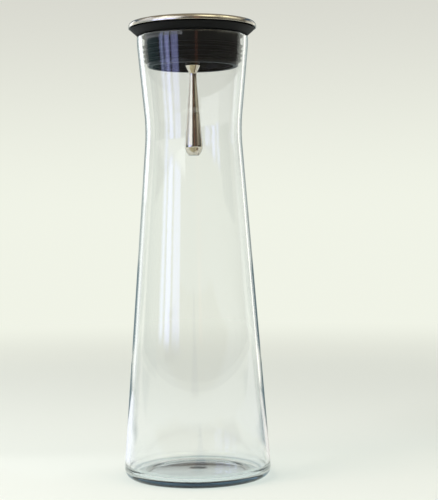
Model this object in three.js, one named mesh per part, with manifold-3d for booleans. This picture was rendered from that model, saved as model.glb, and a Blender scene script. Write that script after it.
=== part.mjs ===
// A tall glass carafe with a lift-out stopper. The stopper is an open pour tube, and a steel lid
// hinged at the back covers it. A steel weight hangs from the lid inside the neck: it holds the lid
// shut while the carafe stands, and swings it open when the carafe is tilted to the front to pour.
// Millimetres, +Z up. The origin is on the table at the centre of the foot, and the front is -Y.

import * as THREE from "three";
import { mergeVertices } from "three/addons/utils/BufferGeometryUtils.js";
import Module from "manifold-3d";

const wasm = await Module();
wasm.setup();

// Glass body. The foot and waist radii are those of the sharp corners, before they are rounded, and
// the neck is measured from the rim down to the waist.
const bodyHeight = 288;
const neckLength = 60.8;
const footRadius = 48.5;
const waistRadius = 31.05;
const mouthRadius = 36.3;
const lipHeight = 5.5;
const wallThickness = 2.6;
const floorThickness = 4.2;
const heelRadius = 6;
const innerHeelRadius = 5;
const waistBlend = 90;
const lipBlend = 60;
const standWidth = 14.5;
const puntRise = 0.8;
const puntSlope = 1.6;
const dimpleRadius = 6;
const dimpleDepth = 0.7;

// Clearances: between pieces that rest or fit together, between the sleeve's ribs and the glass, round
// the hinge pin, round the lid's back edge, and what a cut runs past the surface that it opens.
const seatGap = 0.3;
const ribGap = 0.6;
const pinGap = 0.25;
const edgeGap = 0.4;
const overrun = 1;

// Stopper, in the neck: its sleeve fits the glass, its tube fits the sleeve, and its ribs narrow
// downwards with the neck. Heights are measured from the rim.
const stopperDepth = 20.1;
const sleeveBandHeight = 6.8;
const bandInset = 1.5;
const ribCount = 4;
const ribDepth = 1.2;
const ribTip = 0.5;
const ribRoot = 1.6;
const sleeveWall = 1.9;
const tubeWall = 2.2;

const ringStep = 1.1;
const ringHeight = 2.4;
const ringFloor = 1.2;

// Stopper, above the rim.
const collarTop = 4.6;
const collarFlare = 4.3;
const collarLip = 0.5;
const collarBase = 1.2;
const flangeInset = 0.4;
const flangeThickness = 1.6;

// Hinge at the back of the stopper.
const hingeDrop = 0.7;
const pinRadius = 0.9;
const knuckleRadius = 2.2;
const lidKnuckleWidth = 7.2;
const earWidth = 3.6;
const armThickness = 2.4;
const armRoot = 0.5;

// Lid.
const lidGap = 0.5;
const capOverhang = 1.5;
const capEdgeHeight = 3.5;
const capEdgeRadius = 2.4;
const capDome = 1;
const capSheet = 0.8;

const plateLift = 0.2;
const bossRadius = 8;
const bossDrop = 3.3;

const gasketInset = 0.4;
const gasketWidth = 5.4;
const gasketRecess = 0.7;

const stemRadius = 4.8;
const screwRadius = 1.5;
const screwHeadRadius = 3.5;
const screwHeadHeight = 1.8;
const screwGrip = 8;

const insertRadius = 2.9;
const insertLength = 7;
const washerRadius = 4.5;
const washerThickness = 0.8;
const studGrip = 3.4;

// Hanging weight, from its flared top down.
const weightRise = 1.1;
const weightTopRadius = 4.9;
const flareHeight = 5;
const neckRadius = 2.45;
const neckHeight = 4.4;
const bulbRadius = 6;
const bulbHeight = 43.8;
const bevelHeight = 5.6;
const bevelBulge = 0.7;
const weightFootRadius = 3.35;

// How finely round shapes are faceted: sides of a full turn, and steps of each rounded corner.
const glassSides = 64;
const roundSides = 48;
const smallSides = 20;
const heelSteps = 5;
const waistSteps = 6;
const lipSteps = 2;
const rimSteps = 4;
const capEdgeSteps = 5;
const domeShares = [0.75, 0.5, 0.25, 0];

// A point at a share of the way between two points.
function between(from, to, share) {
  return [from[0] + (to[0] - from[0]) * share, from[1] + (to[1] - from[1]) * share];
}

// The rounding of a corner: points on the arc that touches both of its straight sides.
function blend(before, corner, after, radius, steps) {
  const middle = new THREE.Vector2(...corner);
  const toBefore = new THREE.Vector2(...before).sub(middle).normalize();
  const toAfter = new THREE.Vector2(...after).sub(middle).normalize();
  const halfAngle = Math.acos(toBefore.dot(toAfter)) / 2;
  const bisector = toBefore.clone().add(toAfter).normalize();
  const centre = middle.clone().addScaledVector(bisector, radius / Math.sin(halfAngle));
  const tangent = radius / Math.tan(halfAngle);
  const start = middle.clone().addScaledVector(toBefore, tangent).sub(centre);
  const end = middle.clone().addScaledVector(toAfter, tangent).sub(centre);
  const turn = Math.atan2(start.cross(end), start.dot(end));
  const points = [];
  for (let step = 0; step <= steps; step += 1) {
    const spoke = start.clone().rotateAround(new THREE.Vector2(), (turn * step) / steps);
    points.push([centre.x + spoke.x, centre.y + spoke.y]);
  }
  return points;
}

// A solid turned about the upright axis from an outline of [radius, height] points. An outline that
// keeps off the axis is closed on itself, as a ring's is.
function turned(outline, sides) {
  const points = outline.map(([radius, height]) => new THREE.Vector2(radius, height));
  if (outline[0][0] > 0) points.push(points[0].clone());
  return new THREE.LatheGeometry(points, sides).rotateX(Math.PI / 2);
}

// A plain ring between two radii and two heights.
function ring(inner, outer, bottom, top, sides) {
  const outline = [
    [inner, bottom],
    [outer, bottom],
    [outer, top],
    [inner, top],
  ];
  return turned(outline, sides);
}

// A solid cylinder that stands on a height.
function disc(radius, bottom, top, sides) {
  const outline = [
    [0, bottom],
    [radius, bottom],
    [radius, top],
    [0, top],
  ];
  return turned(outline, sides);
}

// A prism along X: an outline of [y, z] points, centred on a place along X.
function prism(outline, width, centreX) {
  const shape = new THREE.Shape(outline.map(([y, z]) => new THREE.Vector2(y, z)));
  const geometry = new THREE.ExtrudeGeometry(shape, { depth: width, bevelEnabled: false });
  const upright = new THREE.Matrix4().makeBasis(
    new THREE.Vector3(0, 1, 0),
    new THREE.Vector3(0, 0, 1),
    new THREE.Vector3(1, 0, 0),
  );
  return geometry.applyMatrix4(upright).translate(centreX - width / 2, 0, 0);
}

// A cylinder along the hinge's axis.
function barrel(radius, width, centreX) {
  const geometry = new THREE.CylinderGeometry(radius, radius, width, smallSides);
  return geometry.rotateZ(Math.PI / 2).translate(centreX, hingeOffset, hingeRise);
}

// A geometry as a solid that can be joined and cut, and back again.
function solid(geometry) {
  const bare = geometry.clone();
  bare.deleteAttribute("normal");
  bare.deleteAttribute("uv");
  const merged = mergeVertices(bare);
  const vertProperties = new Float32Array(merged.attributes.position.array);
  const triVerts = new Uint32Array(merged.index.array);
  return new wasm.Manifold(new wasm.Mesh({ numProp: 3, vertProperties, triVerts }));
}

function geometryOf(body) {
  const { vertProperties, triVerts } = body.getMesh();
  const geometry = new THREE.BufferGeometry();
  geometry.setAttribute("position", new THREE.BufferAttribute(vertProperties, 3));
  geometry.setIndex(new THREE.BufferAttribute(triVerts, 1));
  const flat = geometry.toNonIndexed();
  flat.computeVertexNormals();
  return flat;
}

// A named piece of the carafe.
function piece(name, geometry, colour, roughness, metalness, opacity = 1) {
  const finish = { color: colour, roughness, metalness, opacity, transparent: opacity < 1 };
  const mesh = new THREE.Mesh(geometry, new THREE.MeshStandardMaterial(finish));
  mesh.name = name;
  return mesh;
}

const darkPlastic = ["#1c1d20", 0.45, 0];
const darkSilicone = ["#26282b", 0.7, 0];
const polishedSteel = ["#c9c5bd", 0.15, 1];

// Places that several pieces share.
const waistHeight = bodyHeight - neckLength;
const ringTop = -stopperDepth + ringHeight;
const sleeveBottom = ringTop + seatGap;
const lowestRib = sleeveBottom + ribRoot / 2;
const highestRib = -sleeveBandHeight - ribRoot / 2;
const grooveRadius = ribRadius(lowestRib) - ribDepth;
const sleeveBore = grooveRadius - sleeveWall;
const tubeRadius = sleeveBore - seatGap;
const boreRadius = tubeRadius - tubeWall;
const collarBottom = seatGap;
const collarFootRadius = mouthRadius - seatGap;
const collarTopRadius = collarFootRadius + collarFlare;
const flangeBottom = collarBottom + collarBase + seatGap;
const flangeTop = flangeBottom + flangeThickness;
const flangeRadius = collarFootRadius - flangeInset;
const collarPocket = flangeRadius + seatGap;
const capBottom = collarTop + lidGap;
const capRadius = collarTopRadius + capOverhang;
const hingeRise = capBottom - hingeDrop;
const hingeOffset = capRadius + edgeGap + knuckleRadius;
const earCentre = lidKnuckleWidth / 2 + seatGap + earWidth / 2;
const hingeHalfWidth = earCentre + earWidth / 2;
const plateBottom = capBottom + plateLift;
const plateTop = capBottom + capEdgeHeight - capSheet - edgeGap;
const plateRadius = capRadius - capSheet - edgeGap;
const plateChamfer = capEdgeRadius - capSheet - edgeGap;
const bossBottom = plateBottom - bossDrop;
const gasketOuter = flangeRadius - gasketInset;
const gasketInner = gasketOuter - gasketWidth;
const gasketBottom = flangeTop + seatGap;
const gasketTop = plateBottom + gasketRecess;
const stemTop = bossBottom - seatGap;
const weightTop = -stopperDepth + weightRise;
const stemBottom = weightTop + washerThickness + 2 * seatGap;
const screwBore = screwRadius + seatGap;
const weightNeckTop = weightTop - flareHeight;
const weightNeckBottom = weightNeckTop - neckHeight;
const weightBulb = weightNeckBottom - bulbHeight;
const weightBottom = weightBulb - bevelHeight;

// The glass wall's inner radius at a height between the waist and the lip.
function neckInnerRadius(height) {
  const lipCorner = bodyHeight - lipHeight;
  const share = (height - waistHeight) / (lipCorner - waistHeight);
  return waistRadius + (mouthRadius - waistRadius) * share - wallThickness;
}

// A rib's radius at a height from the rim, where the ribs follow the narrowing neck.
function ribRadius(height) {
  return neckInnerRadius(bodyHeight + height) - ribGap;
}

// One wall of the body from the heel corner to the rim, drawn in from the outside by an inset.
function wallLine(inset, floorHeight, cornerRadius, rim) {
  const foot = [footRadius - inset, 0];
  const waist = [waistRadius - inset, waistHeight];
  const lip = [mouthRadius - inset, bodyHeight - lipHeight];
  const heel = between(foot, waist, floorHeight / waistHeight);
  return [
    ...blend([0, floorHeight], heel, waist, cornerRadius, heelSteps),
    ...blend(foot, waist, lip, waistBlend, waistSteps),
    ...blend(waist, lip, [lip[0], bodyHeight], lipBlend, lipSteps),
    [lip[0], rim],
  ];
}

function glassBody() {
  const puntRadius = footRadius - standWidth;
  const rimRadius = wallThickness / 2;
  const rimStart = bodyHeight - rimRadius;
  const outside = wallLine(0, 0, heelRadius, rimStart);
  const inside = wallLine(wallThickness, floorThickness, innerHeelRadius, rimStart);
  const rim = [];
  for (let step = 1; step < rimSteps; step += 1) {
    const angle = (Math.PI * step) / rimSteps;
    const radius = mouthRadius - rimRadius + rimRadius * Math.cos(angle);
    rim.push([radius, rimStart + rimRadius * Math.sin(angle)]);
  }
  const outline = [
    [0, puntRise],
    [puntRadius - puntSlope, puntRise],
    [puntRadius, 0],
    ...outside,
    ...rim,
    ...inside.reverse(),
    [dimpleRadius, floorThickness],
    [dimpleRadius / 2, floorThickness - dimpleDepth],
    [0, floorThickness - dimpleDepth],
  ];
  return turned(outline, glassSides);
}

function stopperCore() {
  const tubeBottom = -stopperDepth + ringFloor + seatGap;
  const outline = [
    [boreRadius, tubeBottom],
    [tubeRadius, tubeBottom],
    [tubeRadius, flangeBottom],
    [flangeRadius, flangeBottom],
    [flangeRadius, flangeTop],
    [boreRadius, flangeTop],
  ];
  const ear = [
    [collarPocket - armThickness, flangeBottom],
    [flangeRadius, flangeBottom],
    [hingeOffset, hingeRise - knuckleRadius],
    [hingeOffset, collarTop],
    [collarPocket, collarTop],
    [collarPocket - seatGap, flangeTop],
    [collarPocket - armThickness, flangeTop],
  ];
  let core = solid(turned(outline, roundSides));
  for (const side of [-1, 1]) {
    core = core.add(solid(prism(ear, earWidth, side * earCentre)));
    core = core.add(solid(barrel(knuckleRadius, earWidth, side * earCentre)));
  }
  const bore = barrel(pinRadius + pinGap, 2 * (hingeHalfWidth + overrun), 0);
  return geometryOf(core.subtract(solid(bore)));
}

function pourCollar() {
  const outline = [
    [sleeveBore, collarBottom],
    [collarFootRadius, collarBottom],
    [collarTopRadius, collarTop - collarLip],
    [collarTopRadius, collarTop],
    [collarPocket, collarTop],
    [collarPocket, collarBottom + collarBase],
    [sleeveBore, collarBottom + collarBase],
  ];
  const front = collarPocket - armThickness;
  const back = collarTopRadius + overrun;
  const notch = [
    [front, collarBottom + collarBase],
    [back, collarBottom + collarBase],
    [back, collarTop + overrun],
    [front, collarTop + overrun],
  ];
  const collar = solid(turned(outline, roundSides));
  return geometryOf(collar.subtract(solid(prism(notch, 2 * (hingeHalfWidth + seatGap), 0))));
}

function ribbedSleeve() {
  const bandRadius = ribRadius(highestRib) - bandInset;
  const ribPitch = (highestRib - lowestRib) / (ribCount - 1);
  const outline = [[sleeveBore, sleeveBottom]];
  for (let rib = 0; rib < ribCount; rib += 1) {
    const height = lowestRib + rib * ribPitch;
    const tip = ribRadius(height);
    outline.push(
      [tip - ribDepth, height - ribRoot / 2],
      [tip, height - ribTip / 2],
      [tip, height + ribTip / 2],
      [tip - ribDepth, height + ribRoot / 2],
    );
  }
  outline.push([bandRadius, -sleeveBandHeight], [bandRadius, 0], [sleeveBore, 0]);
  return turned(outline, roundSides);
}

function retainingRing() {
  const ringRadius = grooveRadius - ringStep;
  const outline = [
    [boreRadius, -stopperDepth],
    [ringRadius, -stopperDepth],
    [ringRadius, ringTop],
    [sleeveBore, ringTop],
    [sleeveBore, -stopperDepth + ringFloor],
    [boreRadius, -stopperDepth + ringFloor],
  ];
  return turned(outline, roundSides);
}

function hingePin() {
  return barrel(pinRadius, 2 * hingeHalfWidth, 0);
}

// The cap's rounded edge and shallow dome, drawn in from its outside by an inset.
function capLine(inset) {
  const shoulder = capBottom + capEdgeHeight;
  const centreRadius = capRadius - capEdgeRadius;
  const edge = [];
  for (let step = 0; step <= capEdgeSteps; step += 1) {
    const angle = ((Math.PI / 2) * step) / capEdgeSteps;
    const reach = capEdgeRadius - inset;
    edge.push([centreRadius + reach * Math.cos(angle), shoulder - capEdgeRadius + reach * Math.sin(angle)]);
  }
  const dome = domeShares.map((share) => [
    centreRadius * share,
    shoulder - inset + capDome * (1 - share ** 2),
  ]);
  return [[capRadius - inset, capBottom], ...edge, ...dome];
}

function lidCap() {
  return turned([...capLine(capSheet).reverse(), ...capLine(0)], roundSides);
}

function lidPlate() {
  const recessInner = gasketInner - seatGap;
  const recessOuter = gasketOuter + seatGap;
  const recessTop = gasketTop + seatGap;
  const headSeat = plateTop - screwHeadHeight - seatGap;
  const headBore = screwHeadRadius + seatGap;
  const outline = [
    [screwBore, bossBottom],
    [bossRadius, bossBottom],
    [bossRadius, plateBottom],
    [recessInner, plateBottom],
    [recessInner, recessTop],
    [recessOuter, recessTop],
    [recessOuter, plateBottom],
    [plateRadius, plateBottom],
    [plateRadius, plateTop - plateChamfer],
    [plateRadius - plateChamfer, plateTop],
    [headBore, plateTop],
    [headBore, headSeat],
    [screwBore, headSeat],
  ];
  const armTop = capBottom - seatGap;
  const arm = [
    [collarPocket, hingeRise - knuckleRadius],
    [hingeOffset, hingeRise - knuckleRadius],
    [hingeOffset, armTop],
    [plateRadius, armTop],
    [plateRadius, plateBottom + armRoot],
    [collarPocket, plateBottom + armRoot],
  ];
  const plate = solid(turned(outline, roundSides))
    .add(solid(prism(arm, lidKnuckleWidth, 0)))
    .add(solid(barrel(knuckleRadius, lidKnuckleWidth, 0)));
  const bore = barrel(pinRadius + pinGap, lidKnuckleWidth + 2 * overrun, 0);
  return geometryOf(plate.subtract(solid(bore)));
}

function lidGasket() {
  return ring(gasketInner, gasketOuter, gasketBottom, gasketTop, roundSides);
}

function stemScrew() {
  const headBottom = plateTop - screwHeadHeight;
  const outline = [
    [0, stemTop - screwGrip],
    [screwRadius, stemTop - screwGrip],
    [screwRadius, headBottom],
    [screwHeadRadius, headBottom],
    [screwHeadRadius, plateTop],
    [0, plateTop],
  ];
  return turned(outline, smallSides);
}

function lidStem() {
  const insertBore = insertRadius + seatGap;
  const insertTop = stemBottom + insertLength + seatGap;
  const screwEnd = stemTop - screwGrip - seatGap;
  const outline = [
    [0, insertTop],
    [insertBore, insertTop],
    [insertBore, stemBottom],
    [stemRadius, stemBottom],
    [stemRadius, stemTop],
    [screwBore, stemTop],
    [screwBore, screwEnd],
    [0, screwEnd],
  ];
  return turned(outline, smallSides);
}

function threadedInsert() {
  return ring(screwBore, insertRadius, stemBottom, stemBottom + insertLength, smallSides);
}

function stemWasher() {
  const bottom = weightTop + seatGap;
  return ring(screwBore, washerRadius, bottom, bottom + washerThickness, smallSides);
}

function weightStud() {
  return disc(screwRadius, weightTop - studGrip, stemBottom + insertLength - seatGap, smallSides);
}

function hangingWeight() {
  const studEnd = weightTop - studGrip - seatGap;
  const bevelRadius = (bulbRadius + weightFootRadius) / 2 + bevelBulge;
  const outline = [
    [0, weightBottom],
    [weightFootRadius, weightBottom],
    [bevelRadius, (weightBulb + weightBottom) / 2],
    [bulbRadius, weightBulb],
    [neckRadius, weightNeckBottom],
    [neckRadius, weightNeckTop],
    [weightTopRadius, weightTop],
    [screwBore, weightTop],
    [screwBore, studEnd],
    [0, studEnd],
  ];
  return turned(outline, smallSides);
}

const lid = new THREE.Group();
lid.add(
  piece("lid_cap", lidCap(), ...polishedSteel),
  piece("lid_plate", lidPlate(), ...darkPlastic),
  piece("lid_gasket", lidGasket(), ...darkSilicone),
  piece("stem_screw", stemScrew(), ...polishedSteel),
  piece("lid_stem", lidStem(), ...darkPlastic),
  piece("threaded_insert", threadedInsert(), "#b08d4a", 0.35, 1),
  piece("stem_washer", stemWasher(), ...darkSilicone),
  piece("weight_stud", weightStud(), ...polishedSteel),
  piece("hanging_weight", hangingWeight(), ...polishedSteel),
);

const stopper = new THREE.Group();
stopper.position.z = bodyHeight;
stopper.add(
  piece("stopper_core", stopperCore(), ...darkPlastic),
  piece("pour_collar", pourCollar(), ...darkSilicone),
  piece("ribbed_sleeve", ribbedSleeve(), ...darkSilicone),
  piece("retaining_ring", retainingRing(), ...darkPlastic),
  piece("hinge_pin", hingePin(), ...polishedSteel),
  lid,
);

const carafe = new THREE.Group();
carafe.add(piece("glass_body", glassBody(), "#dfe9e6", 0.05, 0, 0.35), stopper);

export default carafe;
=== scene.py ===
import math
import bpy
import bmesh
from mathutils import Matrix, Quaternion, Vector


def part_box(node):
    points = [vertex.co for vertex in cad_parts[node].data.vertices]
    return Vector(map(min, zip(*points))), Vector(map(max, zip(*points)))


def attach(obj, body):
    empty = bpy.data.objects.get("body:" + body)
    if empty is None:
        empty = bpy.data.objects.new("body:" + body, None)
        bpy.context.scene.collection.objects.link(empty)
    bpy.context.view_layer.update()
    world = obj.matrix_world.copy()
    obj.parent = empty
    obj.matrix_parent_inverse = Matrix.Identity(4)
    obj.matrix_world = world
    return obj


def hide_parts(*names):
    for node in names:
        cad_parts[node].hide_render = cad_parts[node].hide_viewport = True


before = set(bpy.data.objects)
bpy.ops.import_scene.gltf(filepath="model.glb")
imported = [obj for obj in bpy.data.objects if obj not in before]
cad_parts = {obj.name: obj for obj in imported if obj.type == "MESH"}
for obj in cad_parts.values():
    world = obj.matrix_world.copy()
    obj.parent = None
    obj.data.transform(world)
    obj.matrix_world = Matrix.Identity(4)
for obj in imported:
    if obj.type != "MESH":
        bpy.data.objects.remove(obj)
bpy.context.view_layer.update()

mm = 0.001
fullTurn = 2 * math.pi
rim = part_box("glass_body")[1].z  # height of the glass rim above the table
print("frame loaded, glass rim at", round(rim / mm, 1), "mm")


# Camera

view = {
    "frame": (438, 500),  # the picture's width and height in pixels
    "focalPixels": 1272,
    "distance": 0.835,
    "eyeHeight": 0.1665,
    "lookDown": 1.26,  # degrees
    "lookRight": 1.075,
    "roll": 0.72,
}


def addCamera():
    data = bpy.data.cameras.new("camera")
    data.sensor_fit = "AUTO"
    data.sensor_width = 24  # lies along the picture's longer side, which is its height
    data.lens = data.sensor_width * view["focalPixels"] / view["frame"][1]
    data.clip_start = 0.01
    data.clip_end = 50
    camera = bpy.data.objects.new("camera", data)
    level = Matrix.Rotation(math.radians(90 - view["lookDown"]), 4, "X")
    aside = Matrix.Rotation(math.radians(-view["lookRight"]), 4, "Z")
    tilt = Matrix.Rotation(math.radians(-view["roll"]), 4, "Z")
    place = Matrix.Translation((0, -view["distance"], view["eyeHeight"]))
    camera.matrix_world = place @ aside @ level @ tilt
    bpy.context.scene.collection.objects.link(camera)
    bpy.context.scene.camera = camera


# Shader helpers

def addNode(tree, kind, **values):
    node = tree.nodes.new(kind)
    for key, value in values.items():
        if key[0].isupper() or key[0].isdigit():
            name = int(key) if key.isdigit() else key.replace("_", " ")
            node.inputs[name].default_value = value
        else:
            setattr(node, key, value)
    return node


def newGroup(name, inputs, outputs):
    tree = bpy.data.node_groups.new(name, "ShaderNodeTree")
    for label, kind, value in inputs:
        socket = tree.interface.new_socket(label, in_out="INPUT", socket_type=kind)
        if value is not None:
            socket.default_value = value
    for label, kind in outputs:
        tree.interface.new_socket(label, in_out="OUTPUT", socket_type=kind)
    return tree, tree.nodes.new("NodeGroupInput"), tree.nodes.new("NodeGroupOutput")


def newMaterial(name):
    material = bpy.data.materials.new(name)
    material.use_nodes = True
    tree = material.node_tree
    shader = tree.nodes["Principled BSDF"]
    place = addNode(tree, "ShaderNodeTexCoord")
    return material, tree, shader, place


# A Math node fed by sockets or plain numbers
def calculated(tree, operation, *parts):
    node = addNode(tree, "ShaderNodeMath", operation=operation)
    for socket, part in zip(node.inputs, parts):
        if isinstance(part, float):
            socket.default_value = part
        else:
            tree.links.new(part, socket)
    return node.outputs[0]


def colourMix(tree, first=(1, 1, 1, 1), second=(1, 1, 1, 1)):
    mix = addNode(tree, "ShaderNodeMix", data_type="RGBA")
    mix.inputs["A"].default_value = first
    mix.inputs["B"].default_value = second
    return mix


def mixedShaders(tree, amount, first, second):
    mix = addNode(tree, "ShaderNodeMixShader")
    for socket, part in zip(mix.inputs, (amount, first, second)):
        tree.links.new(part, socket)
    return mix.outputs[0]


# The distance from the upright axis, of a position that is split into X, Y and Z
def axisDistance(tree, split):
    flat = addNode(tree, "ShaderNodeCombineXYZ")
    radius = addNode(tree, "ShaderNodeVectorMath", operation="LENGTH")
    tree.links.new(split.outputs["X"], flat.inputs["X"])
    tree.links.new(split.outputs["Y"], flat.inputs["Y"])
    tree.links.new(flat.outputs[0], radius.inputs[0])
    return radius.outputs["Value"]


# Soft uneven film on a surface: smears, dried water and the marks of a hand
def smearGroup():
    tree, into, out = newGroup(
        "smears",
        [
            ("Vector", "NodeSocketVector", None),
            ("Scale", "NodeSocketFloat", 40.0),
            ("Cover", "NodeSocketFloat", 0.5),
        ],
        [("Mask", "NodeSocketFloat")],
    )
    fineness = 5.0  # how many times finer the second texture is
    wide = addNode(tree, "ShaderNodeTexNoise", Detail=4.0, Roughness=0.6, Distortion=0.8)
    fine = addNode(tree, "ShaderNodeTexNoise", Detail=6.0, Roughness=0.7)
    shape = addNode(tree, "ShaderNodeMapRange", From_Min=0.18, From_Max=0.45, To_Max=1.0)
    link = tree.links.new
    link(into.outputs["Vector"], wide.inputs["Vector"])
    link(into.outputs["Vector"], fine.inputs["Vector"])
    link(into.outputs["Scale"], wide.inputs["Scale"])
    link(calculated(tree, "MULTIPLY", into.outputs["Scale"], fineness), fine.inputs["Scale"])
    both = calculated(tree, "MULTIPLY", wide.outputs["Fac"], fine.outputs["Fac"])
    link(both, shape.inputs["Value"])
    cover = calculated(tree, "MULTIPLY", shape.outputs["Result"], into.outputs["Cover"])
    link(cover, out.inputs["Mask"])
    return tree


# Fine lines that run round the upright axis, as turning and polishing leave them
def turnedLinesGroup():
    tree, into, out = newGroup(
        "turned lines",
        [
            ("Vector", "NodeSocketVector", None),
            ("Density", "NodeSocketFloat", 900.0),
            ("Waver", "NodeSocketFloat", 0.4),
        ],
        [("Height", "NodeSocketFloat")],
    )
    split = addNode(tree, "ShaderNodeSeparateXYZ")
    track = addNode(tree, "ShaderNodeCombineXYZ")
    lines = addNode(tree, "ShaderNodeTexNoise", Scale=1.0, Detail=5.0, Roughness=0.75)
    link = tree.links.new
    link(into.outputs["Vector"], split.inputs[0])
    angle = calculated(tree, "ARCTAN2", split.outputs["Y"], split.outputs["X"])
    density = into.outputs["Density"]
    link(calculated(tree, "MULTIPLY", axisDistance(tree, split), density), track.inputs["X"])
    link(calculated(tree, "MULTIPLY", split.outputs["Z"], density), track.inputs["Y"])
    link(calculated(tree, "MULTIPLY", angle, into.outputs["Waver"]), track.inputs["Z"])
    link(track.outputs[0], lines.inputs["Vector"])
    link(lines.outputs["Fac"], out.inputs["Height"])
    return tree


# Fine even grain of a moulded surface, with a few pale specks of dust
def mouldedGroup():
    tree, into, out = newGroup(
        "moulded grain",
        [
            ("Vector", "NodeSocketVector", None),
            ("Grain", "NodeSocketFloat", 3000.0),
            ("Dust", "NodeSocketFloat", 0.5),
        ],
        [("Height", "NodeSocketFloat"), ("Specks", "NodeSocketFloat")],
    )
    grain = addNode(tree, "ShaderNodeTexNoise", Detail=3.0, Roughness=0.6)
    specks = addNode(tree, "ShaderNodeTexVoronoi", feature="F1", Scale=700.0, Randomness=1.0)
    patches = addNode(tree, "ShaderNodeTexNoise", Scale=60.0, Detail=2.0)
    near = addNode(tree, "ShaderNodeMapRange", From_Min=0.04, From_Max=0.12, To_Min=1.0, To_Max=0.0)
    some = addNode(tree, "ShaderNodeMapRange", From_Min=0.5, From_Max=0.7)
    link = tree.links.new
    for texture in (grain, specks, patches):
        link(into.outputs["Vector"], texture.inputs["Vector"])
    link(into.outputs["Grain"], grain.inputs["Scale"])
    link(grain.outputs["Fac"], out.inputs["Height"])
    link(specks.outputs["Distance"], near.inputs["Value"])
    link(patches.outputs["Fac"], some.inputs["Value"])
    where = calculated(tree, "MULTIPLY", near.outputs["Result"], some.outputs["Result"])
    link(calculated(tree, "MULTIPLY", where, into.outputs["Dust"]), out.inputs["Specks"])
    return tree


smears = smearGroup()
turnedLines = turnedLinesGroup()
moulded = mouldedGroup()
print("shader groups ready")


# Materials

def placeGroup(tree, group, place, **values):
    node = tree.nodes.new("ShaderNodeGroup")
    node.node_tree = group
    tree.links.new(place.outputs["Object"], node.inputs["Vector"])
    for key, value in values.items():
        node.inputs[key].default_value = value
    return node


def addBump(tree, shader, height, strength, distance):
    bump = addNode(tree, "ShaderNodeBump", Strength=strength, Distance=distance)
    tree.links.new(height, bump.inputs["Height"])
    tree.links.new(bump.outputs["Normal"], shader.inputs["Normal"])


def varied(tree, mask, low, high, target):
    spread = addNode(tree, "ShaderNodeMapRange", To_Min=low, To_Max=high)
    tree.links.new(mask, spread.inputs["Value"])
    tree.links.new(spread.outputs["Result"], target)


glassLook = {
    "ior": 1.5,
    "tint": (0.18, 0.56, 0.74, 1),  # what long paths through the wall turn to
    "tintDensity": 8.0,
    "faceShadow": (0.985, 0.99, 0.99, 1),
    "edgeShadow": (0.84, 0.88, 0.89, 1),
    "heelShadow": {
        "colour": (0.50, 0.60, 0.66, 1),
        "height": (0.0005, 0.006),
        "radius": (0.0478, 0.0455),
    },
    # Painted shade: the heel ring's outer faces get a dark navy base colour, standing in for the
    # dark line that shadow and dark refractions give the thick heel
    "paintedHeelShade": {
        "colour": (0.05, 0.13, 0.23, 1),
        "height": (0.0038, 0.0054),
        "radius": (0.044, 0.040),
    },
    "smears": {"Scale": 28.0, "Cover": 0.6},
    "smearRoughness": 0.03,
    "waver": 0.00006,
    "waverScale": (26, 26, 7),
}


# Mixes a colour for the thick heel ring, at A, with the colour of the rest of the glass, at B: it
# gives both the heel's shadow colour for lamp light and the painted shade on the heel's faces
def heelOrRest(tree, place, heel):
    split = addNode(tree, "ShaderNodeSeparateXYZ")
    mix = colourMix(tree, heel["colour"])
    tree.links.new(place.outputs["Object"], split.inputs[0])
    masks = []
    for key, value in (("height", split.outputs["Z"]), ("radius", axisDistance(tree, split))):
        mask = addNode(tree, "ShaderNodeMapRange", interpolation_type="SMOOTHSTEP")
        mask.inputs["From Min"].default_value = heel[key][0]
        mask.inputs["From Max"].default_value = heel[key][1]
        tree.links.new(value, mask.inputs["Value"])
        masks.append(mask.outputs["Result"])
    tree.links.new(calculated(tree, "MAXIMUM", *masks), mix.inputs["Factor"])
    return mix


# Lets the lamps shine on through the glass, so that its shadow on the table stays faint
def letThrough(tree, shader, place):
    path = addNode(tree, "ShaderNodeLightPath")
    facing = addNode(tree, "ShaderNodeLayerWeight", Blend=0.35)
    shade = colourMix(tree, glassLook["faceShadow"], glassLook["edgeShadow"])
    clear = addNode(tree, "ShaderNodeBsdfTransparent")
    heel = heelOrRest(tree, place, glassLook["heelShadow"])
    link = tree.links.new
    link(facing.outputs["Facing"], shade.inputs["Factor"])
    link(shade.outputs["Result"], heel.inputs["B"])
    link(heel.outputs["Result"], clear.inputs["Color"])
    lit = calculated(tree, "MAXIMUM", path.outputs["Is Shadow Ray"], path.outputs["Is Diffuse Ray"])
    seen = mixedShaders(tree, lit, shader.outputs[0], clear.outputs[0])
    link(seen, tree.nodes["Material Output"].inputs["Surface"])


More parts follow.
